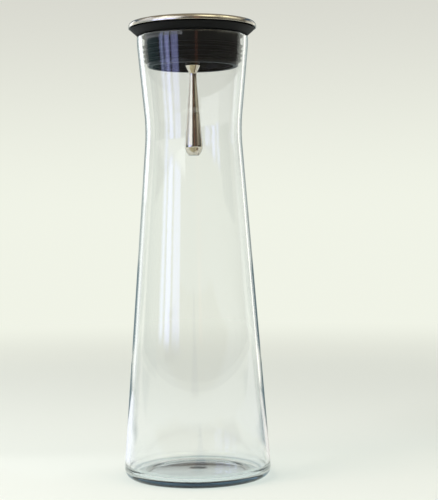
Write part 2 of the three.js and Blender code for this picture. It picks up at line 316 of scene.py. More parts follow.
def clearGlass():
    material, tree, shader, place = newMaterial("clearGlass")
    # Painted shade in the base colour: dark navy on the heel ring's front faces, white elsewhere
    # and on back faces
    heel = heelOrRest(tree, place, glassLook["paintedHeelShade"])
    side = addNode(tree, "ShaderNodeNewGeometry")
    frontHeelShade = colourMix(tree)
    link = tree.links.new
    link(side.outputs["Backfacing"], frontHeelShade.inputs["Factor"])
    link(heel.outputs["Result"], frontHeelShade.inputs["A"])
    link(frontHeelShade.outputs["Result"], shader.inputs["Base Color"])
    shader.inputs["Transmission Weight"].default_value = 1
    shader.inputs["IOR"].default_value = glassLook["ior"]
    film = placeGroup(tree, smears, place, **glassLook["smears"])
    smearRoughness = glassLook["smearRoughness"]
    varied(tree, film.outputs["Mask"], 0.0, smearRoughness, shader.inputs["Roughness"])
    stretch = addNode(tree, "ShaderNodeMapping", Scale=glassLook["waverScale"])
    wave = addNode(tree, "ShaderNodeTexNoise", Scale=1.0, Detail=1.0, Roughness=0.3)
    link(place.outputs["Object"], stretch.inputs["Vector"])
    link(stretch.outputs["Vector"], wave.inputs["Vector"])
    addBump(tree, shader, wave.outputs["Fac"], 1.0, glassLook["waver"])
    depth = addNode(tree, "ShaderNodeVolumeAbsorption")
    depth.inputs["Color"].default_value = glassLook["tint"]
    depth.inputs["Density"].default_value = glassLook["tintDensity"]
    link(depth.outputs["Volume"], tree.nodes["Material Output"].inputs["Volume"])
    letThrough(tree, shader, place)
    return material


steelLook = {
    "colour": (0.66, 0.62, 0.55, 1),
    "smearedColour": (0.594, 0.558, 0.495, 1),
    "smears": {"Scale": 45.0, "Cover": 0.8},
    "waver": 0.6,
    "lineHeight": 0.000004,
}


def polishedSteel(name, density, roughness):
    material, tree, shader, place = newMaterial(name)
    shader.inputs["Metallic"].default_value = 1
    lines = placeGroup(tree, turnedLines, place, Density=density, Waver=steelLook["waver"])
    film = placeGroup(tree, smears, place, **steelLook["smears"])
    colour = colourMix(tree, steelLook["colour"], steelLook["smearedColour"])
    tree.links.new(film.outputs["Mask"], colour.inputs["Factor"])
    tree.links.new(colour.outputs["Result"], shader.inputs["Base Color"])
    varied(tree, film.outputs["Mask"], *roughness, shader.inputs["Roughness"])
    addBump(tree, shader, lines.outputs["Height"], 0.5, steelLook["lineHeight"])
    return material


plasticLook = {
    "colour": (0.008, 0.0085, 0.009, 1),
    "roughness": (0.34, 0.5),
    "grain": {"Grain": 2600.0, "Dust": 0.15},
    "grainHeight": 0.00001,
    "gloss": 0.3,
}

siliconeLook = {
    "colour": (0.0062, 0.0067, 0.0074, 1),
    "roughness": (0.5, 0.66),
    "grain": {"Grain": 1800.0, "Dust": 0.3},
    "grainHeight": 0.00002,
    "gloss": 0.1,
}

mouldedLook = {
    "dustColour": (0.35, 0.34, 0.32, 1),
    "smears": {"Scale": 60.0, "Cover": 0.7},
}


def darkMoulded(name, look):
    material, tree, shader, place = newMaterial(name)
    shader.inputs["Specular IOR Level"].default_value = look["gloss"]
    texture = placeGroup(tree, moulded, place, **look["grain"])
    film = placeGroup(tree, smears, place, **mouldedLook["smears"])
    mix = colourMix(tree, look["colour"], mouldedLook["dustColour"])
    tree.links.new(texture.outputs["Specks"], mix.inputs["Factor"])
    tree.links.new(mix.outputs["Result"], shader.inputs["Base Color"])
    varied(tree, film.outputs["Mask"], *look["roughness"], shader.inputs["Roughness"])
    addBump(tree, shader, texture.outputs["Height"], 0.6, look["grainHeight"])
    return material


brassLook = {
    "colour": (0.69, 0.52, 0.26, 1),
    "lines": {"Density": 2500.0, "Waver": 0.5},
    "lineHeight": 0.00001,
    "roughness": (0.22, 0.42),
}


def turnedBrass():
    material, tree, shader, place = newMaterial("turnedBrass")
    shader.inputs["Metallic"].default_value = 1
    shader.inputs["Base Color"].default_value = brassLook["colour"]
    lines = placeGroup(tree, turnedLines, place, **brassLook["lines"])
    varied(tree, lines.outputs["Height"], *brassLook["roughness"], shader.inputs["Roughness"])
    addBump(tree, shader, lines.outputs["Height"], 0.5, brassLook["lineHeight"])
    return material


glassMaterial = clearGlass()
capSteel = polishedSteel("capSteel", 2200.0, (0.2, 0.32))
weightSteel = polishedSteel("weightSteel", 3000.0, (0.07, 0.16))
plasticMaterial = darkMoulded("blackPlastic", plasticLook)
siliconeMaterial = darkMoulded("darkSilicone", siliconeLook)
brassMaterial = turnedBrass()
print("materials ready")


# Mesh helpers

def shadeByAngle(bm, degrees=32):
    limit = math.radians(degrees)
    for face in bm.faces:
        face.smooth = True
    for edge in bm.edges:
        edge.smooth = len(edge.link_faces) == 2 and edge.calc_face_angle(0) < limit


def outwards(bm):
    bmesh.ops.recalc_face_normals(bm, faces=bm.faces)
    if bm.calc_volume(signed=True) < 0:
        bmesh.ops.reverse_faces(bm, faces=bm.faces)


# A turned shape from its half outline. Each point is (radius, height) or, where a corner is
# rounded, (radius, height, rounding, segments). An outline off the axis is closed on itself.
def turned(points, steps=160):
    bm = bmesh.new()
    verts = [bm.verts.new((point[0], 0, point[1])) for point in points]
    for first, second in zip(verts, verts[1:]):
        bm.edges.new((first, second))
    if points[0][0] > 0:
        bm.edges.new((verts[-1], verts[0]))
    for vert, point in zip(verts, points):
        if len(point) > 2:
            bmesh.ops.bevel(
                bm, geom=[vert], offset=point[2], offset_type="OFFSET", segments=point[3],
                profile=0.5, affect="VERTICES", material=-1,
            )
    bmesh.ops.spin(
        bm, geom=bm.verts[:] + bm.edges[:], cent=(0, 0, 0), axis=(0, 0, 1), dvec=(0, 0, 0),
        angle=fullTurn, steps=steps, use_merge=True, use_duplicate=False,
    )
    bmesh.ops.remove_doubles(bm, verts=bm.verts, dist=1e-6)
    outwards(bm)
    return bm


# A plate across the hinge: an outline of (y, z) points pulled out along X
def crossPlate(points, width, centreX, rounding):
    bm = bmesh.new()
    verts = [bm.verts.new((centreX - width / 2, y, z)) for y, z in points]
    face = bm.faces.new(verts)
    pulled = bmesh.ops.extrude_face_region(bm, geom=[face])["geom"]
    moved = [item for item in pulled if isinstance(item, bmesh.types.BMVert)]
    bmesh.ops.translate(bm, verts=moved, vec=(width, 0, 0))
    outwards(bm)
    bmesh.ops.bevel(
        bm, geom=bm.edges, offset=rounding, offset_type="OFFSET", segments=2, profile=0.5,
        affect="EDGES", material=-1,
    )
    return bm


# A round bar along X
def crossBar(radius, width, centre, rounding, sides=48):
    bm = bmesh.new()
    bmesh.ops.create_cone(
        bm, cap_ends=True, cap_tris=False, segments=sides,
        radius1=radius, radius2=radius, depth=width,
    )
    if rounding > 0:
        ends = [edge for edge in bm.edges if abs(edge.verts[0].co.z - edge.verts[1].co.z) < 1e-7]
        bmesh.ops.bevel(
            bm, geom=ends, offset=rounding, offset_type="OFFSET", segments=3, profile=0.5,
            affect="EDGES", material=-1,
        )
    alongX = Matrix.Rotation(math.pi / 2, 3, "Y")
    bmesh.ops.rotate(bm, verts=bm.verts, cent=(0, 0, 0), matrix=alongX)
    bmesh.ops.translate(bm, verts=bm.verts, vec=centre)
    outwards(bm)
    return bm


def asObject(name, bm):
    mesh = bpy.data.meshes.new(name)
    bm.to_mesh(mesh)
    bm.free()
    item = bpy.data.objects.new(name, mesh)
    bpy.context.scene.collection.objects.link(item)
    return item


sameCorner = 6e-6  # corners nearer than this are one, in a combined shape


# Joins or cuts with other shapes, and cleans the mesh after each of them
def combined(bm, steps):
    item = asObject("working", bm)
    for operation, other in steps:
        tool = asObject("tool", other)
        change = item.modifiers.new("change", "BOOLEAN")
        change.operation = operation
        change.solver = "EXACT"
        change.object = tool
        bpy.context.view_layer.update()
        changed = item.evaluated_get(bpy.context.evaluated_depsgraph_get())
        mesh = bpy.data.meshes.new_from_object(changed)
        item.modifiers.clear()
        result = bmesh.new()
        result.from_mesh(mesh)
        bmesh.ops.remove_doubles(result, verts=result.verts, dist=sameCorner)
        bmesh.ops.dissolve_degenerate(result, edges=result.edges, dist=sameCorner)
        result.to_mesh(mesh)
        result.free()
        item.data = mesh
        bpy.data.objects.remove(tool)
    result = bmesh.new()
    result.from_mesh(item.data)
    bpy.data.objects.remove(item)
    return result


def finishPiece(name, bm, material, body, node):
    shadeByAngle(bm)
    item = asObject(name, bm)
    item.data.materials.append(material)
    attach(item, body)
    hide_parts(node)
    print("made", name, "with", len(item.data.polygons), "faces")


# Glass body

glass = {
    "wall": 2.6 * mm,
    "footCorner": 48.48 * mm,  # radius of the heel's corner before it is rounded
    "waistCorner": 31.05 * mm,
    "waistHeight": 227.2 * mm,
    "mouth": 36.3 * mm,
    "lip": 5.5 * mm,
    "floor": 4.2 * mm,
    "heelRounding": 6.5 * mm,
    "innerHeelRounding": 5.4 * mm,
    "waistRounding": 9 * mm,
    "lipRounding": 2.9 * mm,
    "standWidth": 14.5 * mm,
    "puntRise": 0.8 * mm,
    "dimple": (6 * mm, 0.2 * mm),
}


def glassBody():
    mouth = glass["mouth"]
    wall, waist, floor = glass["wall"], glass["waistHeight"], glass["floor"]
    lipCorner = rim - glass["lip"]
    heelShare = floor / waist
    taper = glass["footCorner"] - glass["waistCorner"]
    innerFoot = glass["footCorner"] - taper * heelShare - wall
    stand = glass["footCorner"] - glass["standWidth"]
    rise = glass["puntRise"]
    dimpleRadius, dimpleDepth = glass["dimple"]
    outline = [
        (0, rise),
        (stand - 4 * rise, rise, 1.5 * mm, 4),
        (stand, 0, 1.5 * mm, 4),
        (glass["footCorner"], 0, glass["heelRounding"], 14),
        (glass["waistCorner"], waist, glass["waistRounding"], 20),
        (mouth, lipCorner, glass["lipRounding"], 8),
        (mouth, rim, 0.499 * wall, 8),
        (mouth - wall, rim, 0.499 * wall, 8),
        (mouth - wall, lipCorner, glass["lipRounding"], 8),
        (glass["waistCorner"] - wall, waist, glass["waistRounding"], 20),
        (innerFoot, floor, glass["innerHeelRounding"], 12),
        (dimpleRadius, floor, 2 * mm, 5),
        (0.4 * dimpleRadius, floor - dimpleDepth, 1.2 * mm, 4),
        (0, floor - dimpleDepth),
    ]
    bm = turned(outline, 200)
    finishPiece("glassBody", bm, glassMaterial, "carafe", "glass_body")


# Stopper

hinge = {
    "offset": 44.4 * mm,
    "rise": 4.4 * mm,
    "knuckle": 2.2 * mm,
    "pin": 0.9 * mm,
    "bore": 1.15 * mm,
    "lidWidth": 7.2 * mm,
    "earWidth": 3.6 * mm,
    "earCentre": 5.7 * mm,
    "earTop": 4.6 * mm,
    "armTop": 4.8 * mm,
    "pinWidth": 15 * mm,
    "inset": 0.04 * mm,  # keeps an arm's faces clear of the faces of its knuckle
}

stopper = {
    "bore": 26.45 * mm,
    "tube": 28.65 * mm,
    "flange": 35.6 * mm,
    "flangeHeights": (1.8 * mm, 3.4 * mm),
    "tubeBottom": -18.6 * mm,
    "earRoot": 33.5 * mm,
}


def stopperCore():
    low, high = (rim + height for height in stopper["flangeHeights"])
    outline = [
        (stopper["bore"], rim + stopper["tubeBottom"], 0.4 * mm, 3),
        (stopper["tube"], rim + stopper["tubeBottom"], 0.4 * mm, 3),
        (stopper["tube"], low, 0.3 * mm, 3),
        (stopper["flange"], low, 0.3 * mm, 3),
        (stopper["flange"], high, 0.3 * mm, 3),
        (stopper["bore"], high, 0.6 * mm, 4),
    ]
    top = rim + hinge["earTop"]
    bottom = rim + hinge["rise"] - hinge["knuckle"] + hinge["inset"]
    ear = [
        (stopper["earRoot"], low + 0.1 * mm),
        (stopper["flange"], low + 0.1 * mm),
        (hinge["offset"], bottom),
        (hinge["offset"], top),
        (stopper["flange"] + 0.3 * mm, top),
        (stopper["flange"], high - 0.1 * mm),
        (stopper["earRoot"], high - 0.1 * mm),
    ]
    steps = []
    for side in (-1, 1):
        centre = Vector((side * hinge["earCentre"], hinge["offset"], rim + hinge["rise"]))
        width = hinge["earWidth"] - 2 * hinge["inset"]
        steps.append(("UNION", crossPlate(ear, width, centre.x, 0.15 * mm)))
        steps.append(("UNION", crossBar(hinge["knuckle"], hinge["earWidth"], centre, 0.25 * mm)))
    middle = Vector((0, hinge["offset"], rim + hinge["rise"]))
    steps.append(("DIFFERENCE", crossBar(hinge["bore"], 20 * mm, middle, 0)))
    bm = combined(turned(outline), steps)
    finishPiece("stopperCore", bm, plasticMaterial, "stopper", "stopper_core")


collar = {
    "foot": 36.0 * mm,
    "top": 40.3 * mm,
    "bottom": 0.3 * mm,
    "height": 4.6 * mm,
    "pocket": 35.9 * mm,
    "base": 1.5 * mm,
    "bore": 28.95 * mm,
    "notchWidth": 15.6 * mm,
    "notchDepth": (33.5 * mm, 44 * mm),  # the notch for the hinge, from and to
}


def pourCollar():
    low, base, top = (rim + collar[key] for key in ("bottom", "base", "height"))
    outline = [
        (collar["bore"], low, 0.3 * mm, 3),
        (collar["foot"], low, 0.5 * mm, 4),
        (collar["top"], top - 0.5 * mm, 0.35 * mm, 4),
        (collar["top"], top, 0.35 * mm, 4),
        (collar["pocket"], top, 0.25 * mm, 3),
        (collar["pocket"], base),
        (collar["bore"], base, 0.3 * mm, 3),
    ]
    near, far = collar["notchDepth"]
    notch = [(near, base), (far, base), (far, top + mm), (near, top + mm)]
    cut = crossPlate(notch, collar["notchWidth"], 0, 0.05 * mm)
    bm = combined(turned(outline), [("DIFFERENCE", cut)])
    finishPiece("pourCollar", bm, siliconeMaterial, "stopper", "pour_collar")


sleeve = {
    "bore": 28.95 * mm,
    "lowestRib": 32.05 * mm,
    "highestRib": 32.90 * mm,
    "ribDepth": 1.2 * mm,
    "band": 31.40 * mm,
    "bottom": -17.4 * mm,
    "bandBottom": -6.8 * mm,
    "ribs": 4,
    "ribTip": 0.5 * mm,
    "ribRoot": 1.6 * mm,
}


def ribbedSleeve():
    lowest = sleeve["bottom"] + sleeve["ribRoot"] / 2
    highest = sleeve["bandBottom"] - sleeve["ribRoot"] / 2
    pitch = (highest - lowest) / (sleeve["ribs"] - 1)
    widening = sleeve["highestRib"] - sleeve["lowestRib"]
    outline = [(sleeve["bore"], rim + sleeve["bottom"], 0.2 * mm, 2)]
    for rib in range(sleeve["ribs"]):
        height = rim + lowest + rib * pitch
        tip = sleeve["lowestRib"] + widening * rib / (sleeve["ribs"] - 1)
        groove = tip - sleeve["ribDepth"]
        outline += [
            (groove, height - sleeve["ribRoot"] / 2, 0.2 * mm, 3),
            (tip, height - sleeve["ribTip"] / 2, 0.22 * mm, 4),
            (tip, height + sleeve["ribTip"] / 2, 0.22 * mm, 4),
            (groove, height + sleeve["ribRoot"] / 2, 0.2 * mm, 3),
        ]
    outline += [
        (sleeve["band"], rim + sleeve["bandBottom"], 0.25 * mm, 3),
        (sleeve["band"], rim, 0.3 * mm, 3),
        (sleeve["bore"], rim, 0.2 * mm, 2),
    ]
    bm = turned(outline)
    finishPiece("ribbedSleeve", bm, siliconeMaterial, "stopper", "ribbed_sleeve")


ring = {
    "bore": 26.45 * mm,
    "outside": 29.75 * mm,
    "seat": 28.95 * mm,
    "heights": (-20.1 * mm, -18.9 * mm, -17.7 * mm),
}


def retainingRing():
    bottom, seat, top = (rim + height for height in ring["heights"])
    outline = [
        (ring["bore"], bottom, 0.35 * mm, 4),
        (ring["outside"], bottom, 0.4 * mm, 4),
        (ring["outside"], top, 0.2 * mm, 3),
        (ring["seat"], top, 0.15 * mm, 2),
        (ring["seat"], seat),
        (ring["bore"], seat, 0.2 * mm, 2),
    ]
    bm = turned(outline)
    finishPiece("retainingRing", bm, plasticMaterial, "stopper", "retaining_ring")


def hingePin():
    middle = Vector((0, hinge["offset"], rim + hinge["rise"]))
    bm = crossBar(hinge["pin"], hinge["pinWidth"], middle, 0.25 * mm)
    finishPiece("hingePin", bm, weightSteel, "stopper", "hinge_pin")


# Lid

cap = {
    "radius": 41.8 * mm,
    "bottom": 5.1 * mm,
    "edgeHeight": 3.5 * mm,
    "edgeRounding": 2.4 * mm,
    "dome": 1.0 * mm,
    "sheet": 0.8 * mm,
}


def lidCap():
    radius, sheet = cap["radius"], cap["sheet"]
    bottom = rim + cap["bottom"]
    shoulder = bottom + cap["edgeHeight"]
    flat = radius - cap["edgeRounding"]
    domeShares = (0.84, 0.68, 0.52, 0.36, 0.2, 0)

    def domePoints(drop):
        return [
            (flat * share, shoulder - drop + cap["dome"] * (1 - share ** 2))
            for share in domeShares
        ]

    outline = [
        *domePoints(sheet)[::-1],
        (radius - sheet, shoulder - sheet, cap["edgeRounding"] - sheet, 8),
        (radius - sheet, bottom, 0.15 * mm, 3),
        (radius, bottom, 0.2 * mm, 4),
        (radius, shoulder, cap["edgeRounding"], 12),
        *domePoints(0),
    ]
    finishPiece("lidCap", turned(outline, 200), capSteel, "lid", "lid_cap")


plate = {
    "radius": 40.6 * mm,
    "bottom": 5.3 * mm,
    "top": 7.4 * mm,
    "chamfer": 1.2 * mm,
    "boss": 8 * mm,
    "bossBottom": 2.0 * mm,
    "screwBore": 1.8 * mm,
    "headBore": 3.8 * mm,
    "headSeat": 5.3 * mm,
    "recess": (29.5 * mm, 35.5 * mm, 6.3 * mm),
}


def lidPlate():
    heights = ("bottom", "top", "bossBottom", "headSeat")
    bottom, top, boss, seat = (rim + plate[key] for key in heights)
    inner, outer, roof = plate["recess"]
    outline = [
        (plate["screwBore"], boss),
        (plate["boss"], boss, 0.5 * mm, 4),
        (plate["boss"], bottom, 0.8 * mm, 4),
        (inner, bottom, 0.15 * mm, 2),
        (inner, rim + roof),
        (outer, rim + roof),
        (outer, bottom, 0.15 * mm, 2),
        (plate["radius"], bottom, 0.2 * mm, 3),
        (plate["radius"], top - plate["chamfer"]),
        (plate["radius"] - plate["chamfer"], top),
        (plate["headBore"], top),
        (plate["headBore"], seat),
        (plate["screwBore"], seat),
    ]
    low = rim + hinge["rise"] - hinge["knuckle"] + hinge["inset"]
    armTop = rim + hinge["armTop"]
    arm = [
        (stopper["flange"] + 0.3 * mm, low),
        (hinge["offset"], low),
        (hinge["offset"], armTop),
        (plate["radius"] - 0.1 * mm, armTop),
        (plate["radius"] - 0.1 * mm, bottom + 0.5 * mm),
        (stopper["flange"] + 0.3 * mm, bottom + 0.5 * mm),
    ]
    middle = Vector((0, hinge["offset"], rim + hinge["rise"]))
    steps = [
        ("UNION", crossPlate(arm, hinge["lidWidth"] - 2 * hinge["inset"], 0, 0.15 * mm)),
        ("UNION", crossBar(hinge["knuckle"], hinge["lidWidth"], middle, 0.25 * mm)),
        ("DIFFERENCE", crossBar(hinge["bore"], 12 * mm, middle, 0)),
    ]
    bm = combined(turned(outline), steps)
    finishPiece("lidPlate", bm, plasticMaterial, "lid", "lid_plate")


gasket = {"inner": 29.8 * mm, "outer": 35.2 * mm, "bottom": 3.7 * mm, "top": 6.0 * mm}


def lidGasket():
    low, high = rim + gasket["bottom"], rim + gasket["top"]
    outline = [
        (gasket["inner"], low, 0.5 * mm, 4),
        (gasket["outer"], low, 0.5 * mm, 4),
        (gasket["outer"], high, 0.3 * mm, 3),
        (gasket["inner"], high, 0.3 * mm, 3),
    ]
    bm = turned(outline, 128)
    finishPiece("lidGasket", bm, siliconeMaterial, "lid", "lid_gasket")


stem = {
    "radius": 4.8 * mm,
    "top": 1.7 * mm,
    "bottom": -17.6 * mm,
    "screw": 1.5 * mm,
    "screwBore": 1.8 * mm,
    "screwEnd": -6.3 * mm,
    "screwHead": (3.5 * mm, 5.6 * mm, 7.4 * mm),
    "insert": 2.9 * mm,
    "insertTop": -10.6 * mm,
    "washer": (4.5 * mm, -18.7 * mm, -17.9 * mm),
    "gap": 0.3 * mm,
}


def lidStem():
    gap = stem["gap"]
    bore = stem["insert"] + gap
    outline = [
        (0, rim + stem["insertTop"] + gap),
        (bore, rim + stem["insertTop"] + gap),
        (bore, rim + stem["bottom"]),
        (stem["radius"], rim + stem["bottom"], 0.3 * mm, 3),
        (stem["radius"], rim + stem["top"], 0.4 * mm, 3),
        (stem["screwBore"], rim + stem["top"]),
        (stem["screwBore"], rim + stem["screwEnd"] - gap),
        (0, rim + stem["screwEnd"] - gap),
    ]
    finishPiece("lidStem", turned(outline, 96), plasticMaterial, "lid", "lid_stem")


def stemScrew():
    head, headBottom, headTop = stem["screwHead"]
    socket = 0.5 * head
    outline = [
        (0, rim + stem["screwEnd"]),
        (stem["screw"], rim + stem["screwEnd"], 0.3 * mm, 3),
        (stem["screw"], rim + headBottom),
        (head, rim + headBottom, 0.15 * mm, 2),
        (head, rim + headTop, 0.5 * mm, 4),
        (socket, rim + headTop, 0.1 * mm, 2),
        (socket, rim + headTop - 1.1 * mm),
        (0, rim + headTop - 1.2 * mm),
    ]
    bm = turned(outline, 64)
    finishPiece("stemScrew", bm, weightSteel, "lid", "stem_screw")


def threadedInsert():
    low, high = rim + stem["bottom"], rim + stem["insertTop"]
    outline = [
        (stem["screwBore"], low, 0.2 * mm, 2),
        (stem["insert"], low, 0.2 * mm, 2),
        (stem["insert"], high, 0.3 * mm, 2),
        (stem["screwBore"], high, 0.2 * mm, 2),
    ]
    bm = turned(outline, 64)
    finishPiece("threadedInsert", bm, brassMaterial, "lid", "threaded_insert")


def stemWasher():
    outside, low, high = stem["washer"]
    outline = [
        (stem["screwBore"], rim + low, 0.2 * mm, 3),
        (outside, rim + low, 0.3 * mm, 4),
        (outside, rim + high, 0.3 * mm, 4),
        (stem["screwBore"], rim + high, 0.2 * mm, 3),
    ]
    bm = turned(outline, 96)
    finishPiece("stemWasher", bm, siliconeMaterial, "lid", "stem_washer")


# Hanging weight

weight = {
    "top": -19 * mm,
    "topRadius": 4.9 * mm,
    "neckRadius": 2.45 * mm,
    "neckTop": -24 * mm,
    "neckBottom": -28.4 * mm,
    "bulbRadius": 6 * mm,
    "bulb": -72.2 * mm,
    "bottom": -77.8 * mm,
    "footRadius": 3.35 * mm,
    "bevelOut": 0.7 * mm,  # how far the lower end bulges past a straight cone
    "studEnd": -22.4 * mm,
}


def weightStud():
    outline = [
        (0, rim + weight["studEnd"]),
        (stem["screw"], rim + weight["studEnd"], 0.3 * mm, 3),
        (stem["screw"], rim + stem["insertTop"] - 0.3 * mm, 0.3 * mm, 3),
        (0, rim + stem["insertTop"] - 0.3 * mm),
    ]
    bm = turned(outline, 64)
    finishPiece("weightStud", bm, weightSteel, "lid", "weight_stud")


def hangingWeight():
    bore = stem["screwBore"]
    bevelRadius = (weight["bulbRadius"] + weight["footRadius"]) / 2 + weight["bevelOut"]
    bevelHeight = (weight["bulb"] + weight["bottom"]) / 2
    outline = [
        (0, rim + weight["bottom"]),
        (weight["footRadius"], rim + weight["bottom"], 0.25 * mm, 4),
        (bevelRadius, rim + bevelHeight, 2.2 * mm, 8),
        (weight["bulbRadius"], rim + weight["bulb"], 0.8 * mm, 8),
        (weight["neckRadius"], rim + weight["neckBottom"], 4 * mm, 14),
        (weight["neckRadius"], rim + weight["neckTop"], 1.1 * mm, 10),
        (weight["topRadius"], rim + weight["top"], 0.12 * mm, 3),
        (bore, rim + weight["top"], 0.15 * mm, 2),
        (bore, rim + weight["studEnd"] - 0.3 * mm),
        (0, rim + weight["studEnd"] - 0.3 * mm),
    ]
    bm = turned(outline, 128)
    finishPiece("hangingWeight", bm, weightSteel, "lid", "hanging_weight")


# Floor, backdrop and light

studio = {
    "aim": Vector((0, 0, 0.16)),  # the middle of the carafe
    "backdrop": (0.875, 0.90, 0.80, 1),
    "backdropHigh": (0.67, 0.67, 0.61, 1),
    "backdropTop": (0.05, 0.10, 0.16, 1),  # above the picture, where only glass and steel show it
    "highFrom": (0.0, 0.22),  # where each of the two comes in, as the height of a direction
    "topFrom": (0.20, 0.30),
    "floor": (0.825, 0.855, 0.785, 1),
    "floorRadius": 5.0,
    "floorRoughness": 0.7,
    "blend": (0.35, 1.3),  # from the lit floor to the backdrop's colour, by distance
    "worldColour": (1, 0.98, 0.94, 1),
    "worldLevel": 0.55,
}

# What shows only as a reflection: bright cards, and the darker side of the room. An azimuth is in
# degrees from the camera's side, to the right; a glow is how bright the card is. A card stands
# upright, is tipped towards the carafe or lies on the table, and its border fades over "soft".
cardColumns = ("name", "pose", "azimuth", "height", "away", "size", "soft", "glow", "colour")
cardRows = [
    ("windowOuter", "upright", -68, 0.29, 1.4, (0.22, 0.42), 0.03, 3.0, (0.50, 0.58, 1.0)),
    ("windowMiddle", "upright", -55, 0.29, 1.4, (0.28, 0.42), 0.03, 3.9, (0.50, 0.55, 1.0)),
    ("windowInner", "upright", -38, 0.29, 1.4, (0.42, 0.42), 0.06, 2.6, (0.50, 0.54, 1.0)),
    ("windowHigh", "upright", -46, 0.965, 1.35, (1.34, 1.07), 0.04, 1.65, (0.95, 0.98, 1.0)),
    ("windowSide", "upright", -92, 0.93, 1.35, (1.02, 1.04), 0.03, 0.9, (0.94, 0.97, 1.0)),
    ("curtainLeft", "upright", -94, 0.26, 1.9, (1.3, 0.6), 0.05, 1.0, (0.08, 0.15, 0.16)),
    ("windowFar", "tipped", -108, 1.3, 1.5, (0.4, 1.0), 0.08, 2.2, (0.82, 0.86, 1.0)),
    ("edgeLeftHigh", "upright", -138, 0.37, 0.5, (0.18, 0.34), 0.03, 1.9, (0.95, 0.97, 1.0)),
    ("edgeLeftLow", "upright", -138, 0.12, 0.5, (0.20, 0.24), 0.03, 1.1, (0.97, 1.0, 0.96)),
    ("edgeLeftTable", "lying", -138, 0.004, 0.27, (0.18, 0.44), 0.025, 1.1, (0.94, 0.97, 1.0)),
    ("edgeRight", "upright", 142, 0.26, 0.5, (0.08, 0.52), 0.02, 1.5, (1.0, 0.98, 0.90)),
    ("edgeRightTable", "lying", 142, 0.004, 0.27, (0.09, 0.44), 0.02, 0.95, (1.0, 0.99, 0.93)),
    ("behindLow", "upright", 180, 0.07, 0.75, (1.1, 0.14), 0.02, 1.0, (0.20, 0.27, 0.29)),
    ("behindHigh", "upright", 180, 0.31, 0.76, (1.1, 0.40), 0.04, 1.0, (0.46, 0.52, 0.50)),
    ("behindMiddle", "upright", 180, 0.36, 0.70, (0.30, 0.30), 0.03, 1.0, (0.012, 0.05, 0.10)),
    ("darkTable", "lying", 180, 0.003, 0.4, (0.6, 0.68), 0.04, 1.0, (0.20, 0.27, 0.29)),
    ("paleBehind", "upright", 180, 0.145, 0.7, (0.2, 0.09), 0.02, 1.0, (0.40, 0.40, 0.39)),
    ("ceilingLeft", "tipped", -58, 1.5, 1.2, (0.4, 0.6), 0.12, 3.4, (1.0, 0.94, 0.76)),
    ("ceilingRight", "tipped", 33, 1.5, 1.2, (0.95, 1.3), 0.15, 1.9, (1.0, 0.95, 0.68)),
    ("ceilingFar", "tipped", 78, 1.5, 1.2, (0.6, 0.6), 0.15, 3.2, (1.0, 0.95, 0.66)),
    ("rightWall", "upright", 76, 1.24, 2.3, (2.3, 1.36), 0.2, 0.55, (1.0, 0.97, 0.76)),
    ("tableNear", "lying", 0, 0.004, 0.36, (0.9, 0.5), 0.06, 1.0, (0.62, 0.57, 0.38)),
    ("tableShade", "lying", 4, 0.006, 0.36, (0.05, 0.5), 0.015, 1.0, (0.10, 0.09, 0.06)),
    ("tableShadeRight", "lying", 52, 0.006, 0.40, (0.22, 0.3), 0.03, 1.0, (0.16, 0.12, 0.07)),
    ("woodDoor", "upright", 8, 0.6, 2.0, (0.24, 1.0), 0.04, 1.0, (0.36, 0.16, 0.10)),
    ("wallHighRight", "tipped", 84, 1.4, 1.6, (1.2, 0.8), 0.15, 1.3, (1.0, 0.96, 0.74)),
]
cards = [dict(zip(cardColumns, row)) for row in cardRows]

softLights = [
    {
        "name": "keyLeft", "azimuth": -58, "height": 1.25, "away": 1.5,
        "size": (1.0, 1.0), "power": 24, "colour": (0.95, 0.96, 1.0),
    },
    {
        "name": "fillRight", "azimuth": 55, "height": 1.1, "away": 1.7,
        "size": (1.1, 1.0), "power": 10.5, "colour": (1.0, 0.97, 0.92),
    },
    {
        "name": "tableLeft", "azimuth": -82, "height": 0.7, "away": 0.6,
        "size": (0.5, 0.5), "power": 1.05, "colour": (1.0, 1.0, 1.0),
    },
]

room = {
    "walls": [  # heights and colours, from the floor up
        (0.0, 0.70, (0.078, 0.07, 0.057, 1)),
        (0.70, 0.88, (0.105, 0.086, 0.070, 1)),
        (0.88, 1.68, (0.095, 0.074, 0.056, 1)),
    ],
    "ceiling": (0.32, 0.285, 0.22, 1),
    "cove": (0.95, 0.92, 0.80, 1),  # a pale line where wall and ceiling meet
    "coveHeight": 0.22,
    "radius": 2.6,
    "height": 1.9,
    "halfAngle": 112,  # degrees to each side of the camera's direction
}


def backdropColour(tree, into):
    place = addNode(tree, "ShaderNodeTexCoord")
    split = addNode(tree, "ShaderNodeSeparateXYZ")
    mix = colourMix(tree, studio["backdrop"], studio["backdropHigh"])
    top = colourMix(tree, second=studio["backdropTop"])
    link = tree.links.new
    link(place.outputs["Generated"], split.inputs[0])
    for blend, (low, high) in ((mix, studio["highFrom"]), (top, studio["topFrom"])):
        climb = addNode(tree, "ShaderNodeMapRange", interpolation_type="SMOOTHSTEP")
        climb.inputs["From Min"].default_value = low
        climb.inputs["From Max"].default_value = high
        link(split.outputs["Z"], climb.inputs["Value"])
        link(climb.outputs["Result"], blend.inputs["Factor"])
    link(mix.outputs["Result"], top.inputs["A"])
    link(top.outputs["Result"], into)


# 1 for what the camera sees, straight, mirrored or through the glass, and 0 for what gives light
def seenDirectly(tree):
    path = addNode(tree, "ShaderNodeLightPath")
    kinds = [path.outputs["Is %s Ray" % kind] for kind in ("Camera", "Glossy", "Transmission")]
    first = calculated(tree, "MAXIMUM", kinds[0], kinds[1])
    return calculated(tree, "MAXIMUM", kinds[2], first)


